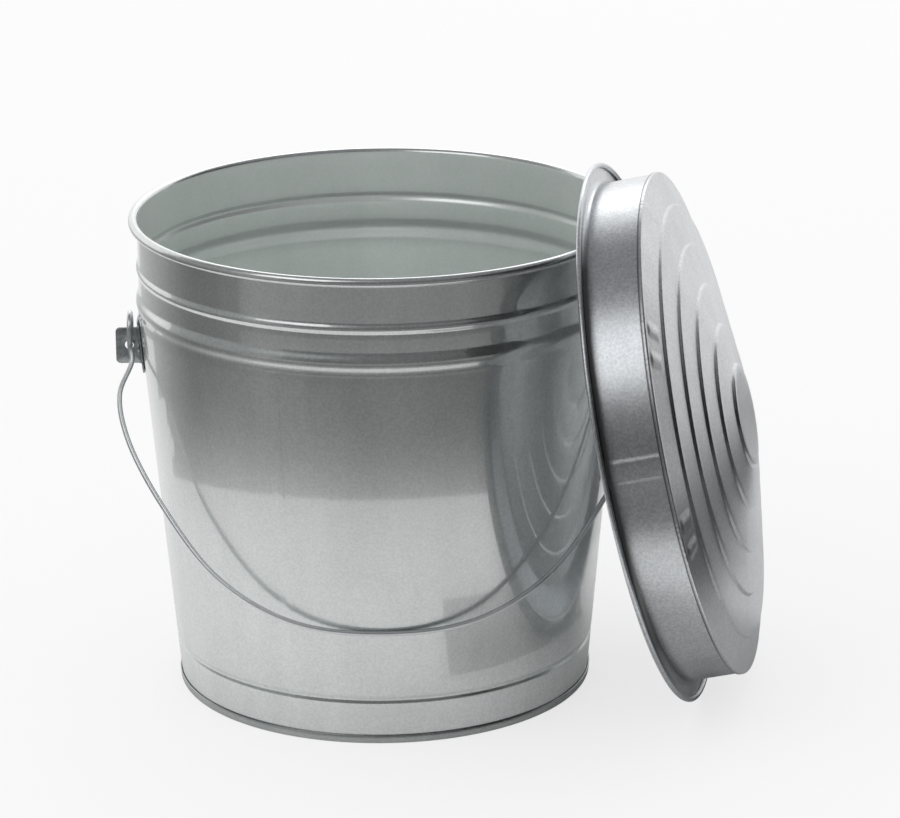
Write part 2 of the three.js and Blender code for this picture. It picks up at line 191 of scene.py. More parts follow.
def galvanized(name, dark, light, rough, seed, mottle=1.0, grain=1.0, skin=0, painted_shade=None):
    """Zinc-coated sheet: cloudy patches, and a fine grain in tone and in height. A skin is the
    index of the thin bright layer over the crystals, which mirrors more sharply than they do.
    painted_shade darkens the colour as painted shade under one height, in from one radius and
    below one side of the lid."""
    material = bpy.data.materials.new(name)
    material.use_nodes = True
    nodes = material.node_tree.nodes
    links = material.node_tree.links
    shader = nodes["Principled BSDF"]
    shader.inputs["Metallic"].default_value = 1.0
    place = nodes.new("ShaderNodeTexCoord")
    shift = nodes.new("ShaderNodeVectorMath")
    shift.inputs[1].default_value = (seed * 0.37, seed * 0.19, seed * 0.53)
    links.new(place.outputs["Object"], shift.inputs[0])

    def cloud(scale, detail, roughness):
        node = nodes.new("ShaderNodeTexNoise")
        node.inputs["Scale"].default_value = scale
        node.inputs["Detail"].default_value = detail
        node.inputs["Roughness"].default_value = roughness
        links.new(shift.outputs[0], node.inputs["Vector"])
        return node.outputs["Fac"]

    def blend(a, b, share):
        node = nodes.new("ShaderNodeMix")
        node.inputs["Factor"].default_value = share
        links.new(a, node.inputs["A"])
        links.new(b, node.inputs["B"])
        return node.outputs["Result"]

    def spread(value, low, high, to_low, to_high):
        node = nodes.new("ShaderNodeMapRange")
        node.inputs["From Min"].default_value = low
        node.inputs["From Max"].default_value = high
        node.inputs["To Min"].default_value = to_low
        node.inputs["To Max"].default_value = to_high
        links.new(value, node.inputs["Value"])
        return node.outputs["Result"]

    patches = cloud(14, 3, 0.55)
    specks = cloud(600, 3, 0.65)
    fine = cloud(1500, 2, 0.6)
    cells = nodes.new("ShaderNodeTexVoronoi")
    cells.inputs["Scale"].default_value = 190
    links.new(shift.outputs[0], cells.inputs["Vector"])
    cell_tone = nodes.new("ShaderNodeSeparateColor")
    links.new(cells.outputs["Color"], cell_tone.inputs["Color"])

    stretch = nodes.new("ShaderNodeVectorMath")
    stretch.operation = "MULTIPLY"
    stretch.inputs[1].default_value = (1, 1, 0.12)
    links.new(shift.outputs[0], stretch.inputs[0])
    streaks = cloud(55, 2, 0.5)
    links.new(stretch.outputs[0], streaks.node.inputs["Vector"])

    cloudy = spread(patches, 0.5 - 0.15 / mottle, 0.5 + 0.15 / mottle, 0, 1)
    streaky = spread(streaks, 0.38, 0.62, 0, 1)
    speckled = spread(blend(specks, fine, 0.3), 0.41, 0.59, 0, 1)
    tone = blend(cloudy, streaky, 0.35)
    tone = blend(tone, cell_tone.outputs["Red"], 0.12)
    tone = blend(tone, speckled, min(0.4 * grain, 0.7))
    colours = nodes.new("ShaderNodeMix")
    colours.data_type = "RGBA"
    colours.inputs["A"].default_value = (*dark, 1)
    colours.inputs["B"].default_value = (*light, 1)
    links.new(tone, colours.inputs["Factor"])
    links.new(colours.outputs["Result"], shader.inputs["Base Color"])
    # Painted shade: a dark grey mixed into the colour under one height, in from one radius and
    # below one side of the lid.
    if painted_shade:
        height, radius, side = painted_shade
        parts = nodes.new("ShaderNodeSeparateXYZ")
        links.new(place.outputs["Object"], parts.inputs[0])
        flat = nodes.new("ShaderNodeVectorMath")
        flat.operation = "MULTIPLY"
        flat.inputs[1].default_value = (1, 1, 0)
        links.new(place.outputs["Object"], flat.inputs[0])
        from_axis = nodes.new("ShaderNodeVectorMath")
        from_axis.operation = "LENGTH"
        links.new(flat.outputs[0], from_axis.inputs[0])
        share = spread(parts.outputs["Z"], height - 0.0014, height, 1, 0)
        for more in (spread(from_axis.outputs["Value"], radius - 0.0006, radius, 1, 0),
                     spread(parts.outputs["X"], side - 0.01, side + 0.01, 0, 1),
                     spread(parts.outputs["X"], 0.09, 0.14, 1, 0.3)):
            node = nodes.new("ShaderNodeMath")
            node.operation = "MULTIPLY"
            links.new(share, node.inputs[0])
            links.new(more, node.inputs[1])
            share = node.outputs[0]
        painted_shade_mix = nodes.new("ShaderNodeMix")
        painted_shade_mix.data_type = "RGBA"
        painted_shade_mix.inputs["B"].default_value = (0.13, 0.135, 0.135, 1)
        links.new(share, painted_shade_mix.inputs["Factor"])
        links.new(colours.outputs["Result"], painted_shade_mix.inputs["A"])
        links.new(painted_shade_mix.outputs["Result"], shader.inputs["Base Color"])

    gloss = spread(blend(patches, specks, 0.5), 0.3, 0.7, rough[0], rough[1])
    shader.inputs["Coat Weight"].default_value = 1.0 if skin else 0.0
    shader.inputs["Coat IOR"].default_value = skin or 1.5
    shader.inputs["Coat Roughness"].default_value = 0.05
    links.new(gloss, shader.inputs["Roughness"])

    bump = nodes.new("ShaderNodeBump")
    bump.inputs["Strength"].default_value = 0.2 * grain
    bump.inputs["Distance"].default_value = 0.00025
    links.new(blend(specks, fine, 0.45), bump.inputs["Height"])
    links.new(bump.outputs["Normal"], shader.inputs["Normal"])
    return material


def on_wall(height):
    return wall_middle(height), height


def on_neck(height):
    return neck_radius, height


wall_line = straight(on_wall(wall_foot), on_wall(groove_low), 6)
wall_line += pressed_ring(on_wall(groove_low), on_wall(groove_high), -groove_depth, 14)
wall_line += straight(on_wall(groove_high), on_wall(shoulder_height), 40)
wall_line += pressed_ring(on_wall(shoulder_height), on_neck(lower_bead_top), lower_bead_rise, 20,
                          1.25)
wall_line += straight(on_neck(lower_bead_top), on_neck(upper_bead_low), 3)
wall_line += pressed_ring(on_neck(upper_bead_low), on_neck(upper_bead_top), upper_bead_rise, 16)
wall_line += straight(on_neck(upper_bead_top), on_neck(curl_height), 6)
wall_line += arc_points(rim_radius, curl_height, curl_radius, 180, curl_end, 26)


def wall_form(angle, r, z):
    """The lock seam, and the slight waviness that any rolled sheet has."""
    turn = math.radians(angle)
    seam = ramp(away(angle, wall_seam_angle), seam_half, seam_slope) * seam_rise
    seam *= ramp(z - 118, 109, 4)
    spot = Vector((math.cos(turn) * 1.6, math.sin(turn) * 1.6, z / 110))
    wave = noise.noise(spot) * 0.05 + noise.noise(spot * 2.7) * 0.015
    wave *= min(max((z - 8) / 30, 0), 1) * min(max((232 - z) / 30, 0), 1)
    return seam + wave, 0


seam_edges = [wall_seam_angle + d for d in (-1.15, -1.0, -seam_half, seam_half, 1.0, 1.15)]
wall = turned("can_wall", sheet_section(wall_line, sheet), around(around_wall, seam_edges),
              wall_form)
wall.data.materials.append(galvanized(
    "galvanized_wall", (0.55, 0.585, 0.575), (0.80, 0.835, 0.825), (0.28, 0.34), 1,
    grain=1.2, skin=3.0))
# The inside faces take a lighter, less metallic copy of the zinc: painted light for the light
# that falls down into the can.
lightened_inside = galvanized("galvanized_inside_lightened", (0.82, 0.865, 0.845), (0.94, 0.98, 0.96),
                         (0.28, 0.34), 7)
lightened_inside.node_tree.nodes["Principled BSDF"].inputs["Metallic"].default_value = 0.7
wall.data.materials.append(lightened_inside)
inside_top = 286.5
for polygon in wall.data.polygons:
    spot = Vector((polygon.center.x, polygon.center.y, 0)).normalized()
    if polygon.normal.dot(spot) < -0.5 and polygon.center.z < inside_top * mm:
        polygon.material_index = 1
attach(wall, "can")
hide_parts("body_wall")

# ------------------------------------------------------------------------------------------
# Wire inside the rolled rim. Drawn and galvanized, 3.8 mm thick; only its underside can be
# glimpsed where the curl stays open.
# ------------------------------------------------------------------------------------------
wire_steel = galvanized("galvanized_wire", (0.70, 0.72, 0.73), (0.88, 0.90, 0.91), (0.28, 0.4), 2,
                        0.7, 0.6)
rim_wire_radius = 1.9
rim_wire = turned("rim_core_wire",
                  arc_points(rim_radius, curl_height, rim_wire_radius, 0, 345, 23), around(240))
rim_wire.data.materials.append(wire_steel)
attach(rim_wire, "can")
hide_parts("rim_wire")

# ------------------------------------------------------------------------------------------
# Bottom pan. A duller galvanized sheet set 9 mm above the floor; its rim is turned down, and
# folded up round the wall's lower edge as a seam that the can stands on.
# ------------------------------------------------------------------------------------------
fold_radius = 0.9
fold_height = fold_radius * math.cos(math.radians(30)) + sheet / 2
fold_middle = wall_middle(fold_height)
fold_top = 4.9
pan_floor = 9.0
pan_bend = 3.0
bend_height = pan_floor - pan_bend
bend_radius = wall_middle(bend_height) - fold_radius - pan_bend
pan_line = straight((0, pan_floor), (bend_radius - 6, pan_floor), 12)
pan_line += arc_points(bend_radius, bend_height, pan_bend, 90, 0, 8)
pan_line += arc_points(fold_middle, fold_height, fold_radius, 180, 360, 10)
pan_line.append((wall_middle(fold_top) + fold_radius, fold_top))
pan = turned("bottom_pan_sheet", sheet_section(pan_line, sheet), around(240))
pan.data.materials.append(galvanized(
    "galvanized_pan", (0.40, 0.42, 0.42), (0.56, 0.58, 0.57), (0.24, 0.4), 3))
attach(pan, "can")
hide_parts("bottom_pan")

# ------------------------------------------------------------------------------------------
# Ears. A plate of 1.2 mm steel bent to the wall, with a doubled tab standing out of it; the
# tab's hole takes the bail. Stamped, dull and mottled.
# ------------------------------------------------------------------------------------------
ear_steel = galvanized("galvanized_ear", (0.26, 0.28, 0.28), (0.50, 0.53, 0.53), (0.28, 0.46), 4,
                       1.5, 1.6)
ear_foot = 192.0
ear_top = 224.0
ear_half = 14.0
ear_corner = 5
ear_depths = [(0.3, 0.0), (0.3, 0.6), (0.3, 0.97), (0.45, 1.0), (1.25, 1.0), (1.5, 0.975),
              (1.5, 0.6), (1.5, 0.0)]
tab_reach = 157.6
tab_foot = 195.5
tab_top = 217.5
tab_half = 0.8
tab_corner = 2.6
tab_widening = [(3.6, 0), (2.1, 0.35), (1.4, 1.0), (1.0, 1.9)]
hole_from_axis = 149.6
hole_height = 206.8
hole_radius = 2.7
taper = math.atan((shoulder_radius - base_radius) / shoulder_height)


def rounded_outline(low, high, corner, steps=6):
    """A rectangle's outline with round corners, as (across, up) points."""
    points = []
    for cx, cz, start in ((high[0] - corner, high[1] - corner, 0),
                          (low[0] + corner, high[1] - corner, 90),
                          (low[0] + corner, low[1] + corner, 180),
                          (high[0] - corner, low[1] + corner, 270)):
        points += arc_points(cx, cz, corner, start, start + 90, steps)
    return points


def ear_plate(side):
    """Rings of the plate's outline, drawn in towards its middle on its back and its front; each
    of ear_depths is how far a ring stands off the wall, and its share of the outline."""
    vertices = []
    faces = []
    outline = rounded_outline((-ear_half, ear_foot), (ear_half, ear_top), ear_corner)
    middle = (ear_foot + ear_top) / 2
    rings = []
    for depth, share in ear_depths:
        if share == 0:
            rings.append([len(vertices)] * len(outline))
            place_points = [(0, middle)]
        else:
            rings.append(list(range(len(vertices), len(vertices) + len(outline))))
            place_points = [(a * share, middle + (z - middle) * share) for a, z in outline]
        for across, z in place_points:
            turn = across / shoulder_radius
            r = (wall_outside(z) + depth) * mm
            vertices.append((side * r * math.cos(turn), side * r * math.sin(turn), z * mm))
    for low, high in zip(rings, rings[1:]):
        for i in range(len(outline)):
            j = (i + 1) % len(outline)
            corners = []
            for v in (low[i], low[j], high[j], high[i]):
                if v not in corners:
                    corners.append(v)
            if len(corners) > 2:
                faces.append(corners)
    return vertices, faces


def filled_in(points, gap):
    """More points on the long straight edges of an outline."""
    filled = []
    for (x0, z0), (x1, z1) in zip(points, points[1:] + points[:1]):
        count = max(1, round(math.dist((x0, z0), (x1, z1)) / gap))
        filled += [(x0 + (x1 - x0) * k / count, z0 + (z1 - z0) * k / count)
                   for k in range(count)]
    return filled


def ear_tab(side):
    """The doubled tab with its hole; its inner edge widens into the plate, which it follows."""
    corner_middle = tab_reach - tab_corner
    outline = arc_points(corner_middle, tab_top - tab_corner, tab_corner, 0, 90, 6)
    for way, edge in ((1, tab_top), (-1, tab_foot)):
        widening = [(wall_outside(edge + way * rise) + out, edge + way * rise)
                    for out, rise in tab_widening]
        outline += widening[::way]
    outline += arc_points(corner_middle, tab_foot + tab_corner, tab_corner, 270, 360, 6)
    outline = filled_in(outline, 1.5)
    count = len(outline)
    vertices = []
    faces = []
    hole = []
    for x, z in outline:
        angle = math.atan2(z - hole_height, x - hole_from_axis)
        hole.append((hole_from_axis + hole_radius * math.cos(angle),
                     hole_height + hole_radius * math.sin(angle)))

    def drawn_in(share):
        return [(x + (hx - x) * share, z + (hz - z) * share)
                for (x, z), (hx, hz) in zip(outline, hole)]

    layers = [(hole, -tab_half + 0.25), (drawn_in(0.94), -tab_half), (drawn_in(0.5), -tab_half),
              (drawn_in(0.04), -tab_half), (outline, -tab_half + 0.3), (outline, tab_half - 0.3),
              (drawn_in(0.04), tab_half), (drawn_in(0.5), tab_half), (drawn_in(0.94), tab_half),
              (hole, tab_half - 0.25)]
    for points, y in layers:
        for x, z in points:
            near = max(0.0, 1 - abs(x - wall_outside(z) - 1.2) / 2.2)
            flare = 1 + 1.6 * near ** 2
            vertices.append((side * x * mm, side * y * flare * mm, z * mm))
    for k in range(len(layers)):
        for i in range(count):
            j = (i + 1) % count
            m = (k + 1) % len(layers)
            faces.append((k * count + i, k * count + j, m * count + j, m * count + i))
    return vertices, faces


for side, word in ((-1, "left"), (1, "right")):
    plate_vertices, plate_faces = ear_plate(side)
    plate = piece("ear_plate_" + word, plate_vertices, plate_faces)
    tab_vertices, tab_faces = ear_tab(side)
    tab = piece("ear_tab_" + word, tab_vertices, tab_faces)
    for part in (plate, tab):
        part.data.materials.append(ear_steel)
        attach(part, "can")
    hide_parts("ear_" + word)

# ------------------------------------------------------------------------------------------
# Rivets. Two soft steel rivets hold each ear, with a domed head outside and a flat tail inside
# the wall; zinc plated and a little brighter than the ear.
# ------------------------------------------------------------------------------------------
rivet_steel = galvanized("rivet_zinc", (0.44, 0.46, 0.46), (0.62, 0.64, 0.64), (0.22, 0.36), 5)
ear_middle = (ear_top + ear_foot) / 2
rivet_aside = 9
rivet_outline = [(0, -1.6), (2.3, -1.6), (2.55, -1.35), (2.55, -0.9), (1.5, -0.9), (1.5, 1.8),
                 (3.0, 1.8), (3.0, 2.1), (2.75, 2.5), (2.2, 2.82), (1.4, 2.98), (0, 3.04)]
for side, word in ((-1, "left"), (1, "right")):
    for sign, place in ((-1, "front"), (1, "back")):
        rivet = turned("rivet_" + word + "_" + place, rivet_outline, around(32))
        stand = Matrix.Rotation(math.radians(90) + taper, 4, "Y")
        stand = Matrix.Translation((wall_outside(ear_middle) * 0.998 * mm,
                                    side * sign * rivet_aside * mm, ear_middle * mm)) @ stand
        if side < 0:
            stand = Matrix.Rotation(math.pi, 4, "Z") @ stand
        rivet.data.transform(stand)
        rivet.data.materials.append(rivet_steel)
        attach(rivet, "can")
        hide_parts("ear_" + word + "_rivet_" + place)

# ------------------------------------------------------------------------------------------
# Bail. One length of 3 mm galvanized wire: a wide bow whose arms run into an eye at each ear,
# the cut end coming through the ear's hole from behind. It lies against the front of the wall.
# ------------------------------------------------------------------------------------------
bail_wire = 3.0
eye_radius = 9.7
eye_from_axis = 148.8
bail_drop = 195.8
bail_shoulder = 154.4
hinge_height = 216.5
rest_angle = math.radians(42.16)
eye_overlap = math.radians(23)
bow_shape = [(0, 1), (0.34, 0.9615), (0.614, 0.824), (0.8335, 0.583), (0.9705, 0.3575),
             (1, 0.215), (0.955, 0.105)]


def smooth_path(points, steps):
    """Points of a smooth curve through these ones, evenly many between each two."""
    p = [2 * points[0] - points[1]] + list(points) + [2 * points[-1] - points[-2]]
    path = []
    for i in range(1, len(p) - 2):
        gaps = [max((p[i + k] - p[i + k - 1]).length, 1e-6) ** 0.5 for k in (0, 1, 2)]
        into = (p[i] - p[i - 1]) / gaps[0] - (p[i + 1] - p[i - 1]) / (gaps[0] + gaps[1])
        into = (into + (p[i + 1] - p[i]) / gaps[1]) * gaps[1]
        out = (p[i + 1] - p[i]) / gaps[1] - (p[i + 2] - p[i]) / (gaps[1] + gaps[2])
        out = (out + (p[i + 2] - p[i + 1]) / gaps[2]) * gaps[1]
        for k in range(steps):
            t = k / steps
            path.append((2 * t ** 3 - 3 * t ** 2 + 1) * p[i] + (t ** 3 - 2 * t ** 2 + t) * into
                        + (-2 * t ** 3 + 3 * t ** 2) * p[i + 1] + (t ** 3 - t ** 2) * out)
    path.append(p[-2])
    return path


def wire_along(name, path, radius, sides=16):
    """A round wire on a path, with its cut ends slightly rounded."""
    vertices = []
    faces = []
    ahead = (path[1] - path[0]).normalized()
    up = ahead.orthogonal().normalized()
    rows = []
    for i, p in enumerate(path):
        forward = (path[min(i + 1, len(path) - 1)] - path[max(i - 1, 0)]).normalized()
        up = (up - forward * up.dot(forward)).normalized()
        side = forward.cross(up)
        rows.append((p, forward, up, side, radius))
    first, last = rows[0], rows[-1]
    ends = ((first, -1), (last, 1))
    caps = []
    for (p, forward, up, side, r), way in ends:
        caps.append([(p + forward * way * r * d, forward, up, side, r * s)
                     for d, s in ((0.12, 0.96), (0.2, 0.8), (0.22, 0.4))])
    rows = caps[0][::-1] + rows + caps[1]
    for p, forward, up, side, r in rows:
        for k in range(sides):
            turn = 2 * math.pi * k / sides
            vertices.append((p + (up * math.cos(turn) + side * math.sin(turn)) * r) * mm)
    for i in range(len(rows) - 1):
        for k in range(sides):
            m = (k + 1) % sides
            faces.append((i * sides + k, i * sides + m, (i + 1) * sides + m, (i + 1) * sides + k))
    faces.append(tuple(range(sides))[::-1])
    faces.append(tuple((len(rows) - 1) * sides + k for k in range(sides)))
    return piece(name, vertices, faces)


half_bow = [Vector((a * bail_shoulder, 0, -d * bail_drop)) for a, d in bow_shape]
leave = math.pi / 2 - rest_angle
tip = 2 * math.pi - rest_angle + eye_overlap
arm = []
for share in (0.3, 0.62):
    drop = math.cos(leave) + (1 - share) * math.sin(leave) * math.tan(leave)
    arm.append(Vector((eye_from_axis, -eye_radius * math.sin(leave) * share, -eye_radius * drop)))
eye = []
for i in range(25):
    angle = leave + (tip - leave) * i / 24
    eye.append(Vector((eye_from_axis, -eye_radius * math.sin(angle),
                       -eye_radius * math.cos(angle))))
half_wire = half_bow[1:] + arm + eye
other_half = [Vector((-p.x, p.y, p.z)) for p in half_wire][::-1]
bail_path = smooth_path(other_half + [half_bow[0]] + half_wire, 9)
bail = wire_along("bail_wire", bail_path, bail_wire / 2)
bail.data.transform(Matrix.Translation((0, 0, hinge_height * mm))
                    @ Matrix.Rotation(-rest_angle, 4, "X"))
bail.data.materials.append(wire_steel)
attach(bail, "bail")
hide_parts("bail")

# ------------------------------------------------------------------------------------------
# Lid skirt. A strip of the same sheet bent to a ring and lapped, its lower edge turned out and
# rolled. Lengths are along the lid's own axis, from its mouth; the lid leans on the can's rim.
# ------------------------------------------------------------------------------------------
lid_turn = math.radians(-10.7)
lid_lean = math.radians(77.2)
lid_out = 158.892
lid_height = 157.488
lid_place = (Matrix.Rotation(lid_turn, 4, "Z")
             @ Matrix.Translation((lid_out * mm, 0, lid_height * mm))
             @ Matrix.Rotation(lid_lean, 4, "Y"))
skirt_radius = 149.1
flange_radius = 160.3
lid_depth = 34.5
lid_roll = 1.2
lid_bend = 3.6
lid_lip = 1.5
mouth_height = 0.3
lid_seam_angle = 260.9
lap_half = 1.5
lap_slope = 1.7
lap_rise = 0.75
skirt_top = lid_depth - sheet
# The crease setting paints shade into the turned edge and its bend, away from the top of the lid.
lid_steel = galvanized("galvanized_lid", (0.54, 0.56, 0.58), (0.84, 0.86, 0.88), (0.28, 0.34), 6,
                       grain=1.5, painted_shade=(0.0046, 0.1609, -0.135))

skirt_line = arc_points(flange_radius, mouth_height + lid_roll, lid_roll, 200, -90, 18)
skirt_line += straight((flange_radius, mouth_height), (skirt_radius + lid_bend, mouth_height), 5)
skirt_line += arc_points(skirt_radius + lid_bend, mouth_height + lid_bend, lid_bend, 270, 180, 12)
skirt_line += straight((skirt_radius, mouth_height + lid_bend), (skirt_radius, skirt_top), 16)


def skirt_form(angle, r, z):
    """The lap seam, and a slight waviness of the strip and of its turned edge."""
    turn = math.radians(angle)
    lap = ramp(away(angle, lid_seam_angle), lap_half, lap_slope) * lap_rise
    lap *= ramp(z - 19, 16.2, 2) if r < skirt_radius + 3 else 0
    spot = Vector((math.cos(turn) * 2.4, math.sin(turn) * 2.4, z / 40 + 7))
    wave = noise.noise(spot) * 0.06 * min(max((lid_depth - z) / 10, 0), 1)
    lift = noise.noise(spot * 1.7) * 0.3 * min(max((r - skirt_radius - 2) / 8, 0), 1)
    return lap + wave, max(lift, -0.02)


lap_edges = [lid_seam_angle + side * (1.4 + d / 5) for side in (-1, 1) for d in range(10)]
skirt = turned("lid_skirt_sheet", sheet_section(skirt_line, sheet), around(288, lap_edges),
               skirt_form)
skirt.matrix_world = lid_place
skirt.data.materials.append(lid_steel)
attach(skirt, "lid")
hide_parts("lid_skirt")

# ------------------------------------------------------------------------------------------
# Lid disc. A pressed sheet that rises in rings to a flat centre, with pairs of short ribs on its
# outer land; its edge is folded down over the skirt as the corner seam.
# ------------------------------------------------------------------------------------------
centre_rise = 27.0
centre_radius = 30.6
outer_ring = 129.5
ring_count = 5
riser = 1.7
riser_run = 2.0
land_rise = 5.7
rib_places = 8
rib_angles = [lid_seam_angle + 18 + 360 / rib_places * k for k in range(rib_places)]
rib_middle = 140.3
rib_aside = 8.7
rib_half = 0.4
rib_slope = 5.6
rib_rise = 0.42
lip_radius = skirt_radius + 0.9
ring_pitch = (outer_ring - centre_radius) / (ring_count - 1)
ring_fall = (centre_rise - land_rise - riser) / (ring_count - 1)
top_height = lid_depth + centre_rise

disc_line = straight((0, top_height), (centre_radius - 6, top_height), 4)
for k in range(ring_count):
    radius = centre_radius + k * ring_pitch
    height = top_height - k * ring_fall
    for i in range(9):
        share = i / 8
        eased = share * share * (3 - 2 * share)
        disc_line.append((radius + (share - 0.5) * riser_run, height - riser * eased))
    if k < ring_count - 1:
        disc_line += straight((radius + riser_run / 2, height - riser),
                              (radius + ring_pitch - riser_run / 2, height - ring_fall), 6)[1:-1]
    else:
        disc_line += straight((radius + riser_run / 2, height - riser),
                              (lip_radius - 0.9, lid_depth + 0.55), 20)[1:-1]
disc_line += arc_points(lip_radius - 0.7, lid_depth - 0.1, 0.7, 75, 0, 6)
disc_line += straight((lip_radius, lid_depth - 0.2), (lip_radius, lid_depth - lid_lip), 8)


def disc_form(angle, r, z):
    """The pairs of short ribs on the outer land, and uneven marks along the corner seam."""
    rib = 0.0
    if outer_ring + riser_run < r < lip_radius - 0.8:
        ends = ramp(r - rib_middle, 4.5, 3.5)
        for middle in rib_angles:
            across = math.radians(away(angle, middle)) * 140
            rib = max(rib, ramp(abs(across) - rib_aside, rib_half, rib_slope) * ends)
    turn = math.radians(angle)
    crimp = 0.0
    if r > lip_radius - 1.2:
        mark = Vector((math.cos(turn) * 70, math.sin(turn) * 70, 1.9))
        crimp = noise.noise(mark) * 0.16
    spot = Vector((math.cos(turn) * r / 60, math.sin(turn) * r / 60, 3.3))
    dish = noise.noise(spot) * 0.12 * min(max((lip_radius - r) / 12, 0), 1)
    return crimp, rib * rib_rise + dish


rib_edges = [a + d / 4 for a in rib_angles for d in range(-25, 26)]
disc = turned("lid_disc_sheet", sheet_section(disc_line, sheet), around(360, rib_edges),
              disc_form)
disc.matrix_world = lid_place
# The crease setting paints a shadow line onto the lower edge of the lip, along the corner seam.
disc_steel = galvanized("galvanized_disc", (0.58, 0.59, 0.61), (0.84, 0.855, 0.875),
                        (0.276, 0.3), 9, grain=1.4, painted_shade=(0.0344, 1.0, -1.0))
disc.data.materials.append(disc_steel)
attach(disc, "lid")
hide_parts("lid_disc")

# ------------------------------------------------------------------------------------------
# Studio. The can stands on white paper under two soft lamps and a white sky. Cards that only the
# metal shows stand round it for the dark room beyond the paper; the camera looks down on the can.
# ------------------------------------------------------------------------------------------
scene = bpy.context.scene
scene.view_settings.view_transform = "Standard"
paper_glow = 0.72


def card(name, corners, colour, camera_white=None):
    """A flat card; camera_white is what the camera and the metal see of it, lit from within for
    the camera, while the card still lights the can in its own colour."""
    mesh = bpy.data.meshes.new(name)
    mesh.from_pydata(corners, [], [tuple(range(len(corners)))])
    thing = bpy.data.objects.new(name, mesh)
    scene.collection.objects.link(thing)
    material = bpy.data.materials.new(name)
    material.use_nodes = True
    nodes = material.node_tree.nodes
    links = material.node_tree.links
    shader = nodes["Principled BSDF"]
    shader.inputs["Base Color"].default_value = (*colour, 1)
    shader.inputs["Roughness"].default_value = 0.9
    shader.inputs["Specular IOR Level"].default_value = 0.0
    if camera_white:
        rays = nodes.new("ShaderNodeLightPath")
        seen = rays.outputs["Is Camera Ray"]
        for also in ("Is Glossy Ray", "Is Transmission Ray"):
            either = nodes.new("ShaderNodeMath")
            either.operation = "MAXIMUM"
            links.new(seen, either.inputs[0])
            links.new(rays.outputs[also], either.inputs[1])
            seen = either.outputs[0]
        paint = nodes.new("ShaderNodeMix")
        paint.data_type = "RGBA"
        paint.inputs["A"].default_value = (*colour, 1)
        paint.inputs["B"].default_value = (*camera_white, 1)
        links.new(seen, paint.inputs["Factor"])
        links.new(paint.outputs["Result"], shader.inputs["Base Color"])
        glow = nodes.new("ShaderNodeEmission")
        lit = nodes.new("ShaderNodeMixShader")
        share = nodes.new("ShaderNodeMath")
        share.operation = "MULTIPLY"
        share.inputs[1].default_value = paper_glow
        links.new(rays.outputs["Is Camera Ray"], share.inputs[0])
        links.new(share.outputs[0], lit.inputs[0])
        links.new(shader.outputs[0], lit.inputs[1])
        links.new(glow.outputs[0], lit.inputs[2])
        links.new(lit.outputs[0], nodes["Material Output"].inputs["Surface"])
    mesh.materials.append(material)
    return thing


card("floor", [(-6, -6, 0), (6, -6, 0), (6, 6, 0), (-6, 6, 0)], (0.8, 0.8, 0.8),
     (0.9, 0.9, 0.9))


def seen_in_metal_only(thing):
    thing.visible_camera = False
    thing.visible_diffuse = False
    thing.visible_shadow = False
    thing.visible_transmission = False
    thing.visible_volume_scatter = False


# The paper under the can ends in a round edge; beyond it the studio floor is dark, in front
# and to the sides, but for the strip of paper that runs up behind the can. On the paper, between
# the can and the lid, lie two arcs of shade.
paper_edge = 0.4
shade_edge = 0.2
edge_band = 0.41
most_tone = 0.9


def floor_tone(angle, radius):
    """The grey of a spot. Angles run from the front towards the right; each of sides is an angle,
    its tone near the paper's edge and its tone well beyond it."""
    sides = [(-180, 0.85, 0.85), (-150, 0.6, 0.6), (-125, 0.42, 0.42), (-95, 0.16, 0.16),
             (-72, 0.18, 0.18), (-50, 0.19, 0.2), (-22, 0.12, 0.18), (20, 0.1, 0.18),
             (40, 0.12, 0.16), (60, 0.05, 0.12), (85, 0.02, 0.02), (105, 0.04, 0.04),
             (116, 0.08, 0.16), (131, 0.08, 0.18), (143, 0.3, 0.4), (153, 0.85, 0.85),
             (180, 0.85, 0.85)]
    beyond = min(max((radius - 0.6) / 0.3, 0), 1)
    for (a0, near0, far0), (a1, near1, far1) in zip(sides, sides[1:]):
        if a0 <= angle <= a1:
            share = (angle - a0) / (a1 - a0)
            near = near0 + (near1 - near0) * share
            far = far0 + (far1 - far0) * share
    if radius < paper_edge:
        return 0.5 if angle < 105 else 0.8
    tone = near + (far - near) * beyond + 0.26 * math.exp(-(radius - edge_band) / 0.045)
    if abs(angle + 5) < 60:
        tone += 0.13 * min(max((radius - 0.85) / 0.1, 0), 1)
    if angle > 110:
        tone += 0.75 * min(max((radius - 1.02) / 0.35, 0), 1)
    if angle > 80:
        tone += 0.34 * math.exp(-(radius - edge_band) / 0.07)
    return min(tone, most_tone)


ring_radii = [0.19, 0.28, 0.39, 0.41, 0.42, 0.43, 0.445, 0.46, 0.48, 0.5, 0.55, 0.7, 0.85, 0.95,
              1.1, 1.28, 1.5, 2.2, 3.2]
circle_count = len(ring_radii)
ring_lift = 0.0004
step_angle = 3
ring_steps = 360 // step_angle
ring_vertices = []
ring_tones = []
ring_faces = []
for step in range(ring_steps + 1):
    angle = -180 + step_angle * step
    for radius in ring_radii:
        ring_vertices.append((radius * math.sin(math.radians(angle)),
                              -radius * math.cos(math.radians(angle)), ring_lift))
        ring_tones.append(floor_tone(angle, radius))
for step in range(ring_steps):
    angle = -180 + step_angle * step
    for k, radius in enumerate(ring_radii[:-1]):
        corner = step * circle_count + k
        corner_x, corner_y, _ = ring_vertices[corner]
        if radius < shade_edge:
            laid = 21 < angle < 100
        elif radius < paper_edge:
            laid = 52 < angle < 150
        else:
            laid = corner_y <= 0.2 or abs(corner_x) >= 0.42
        if laid:
            across = corner + circle_count
            ring_faces.append((corner, corner + 1, across + 1, across))
mesh = bpy.data.meshes.new("dark_floor")
mesh.from_pydata(ring_vertices, [], ring_faces)
tones = mesh.attributes.new("tone", "FLOAT", "POINT")
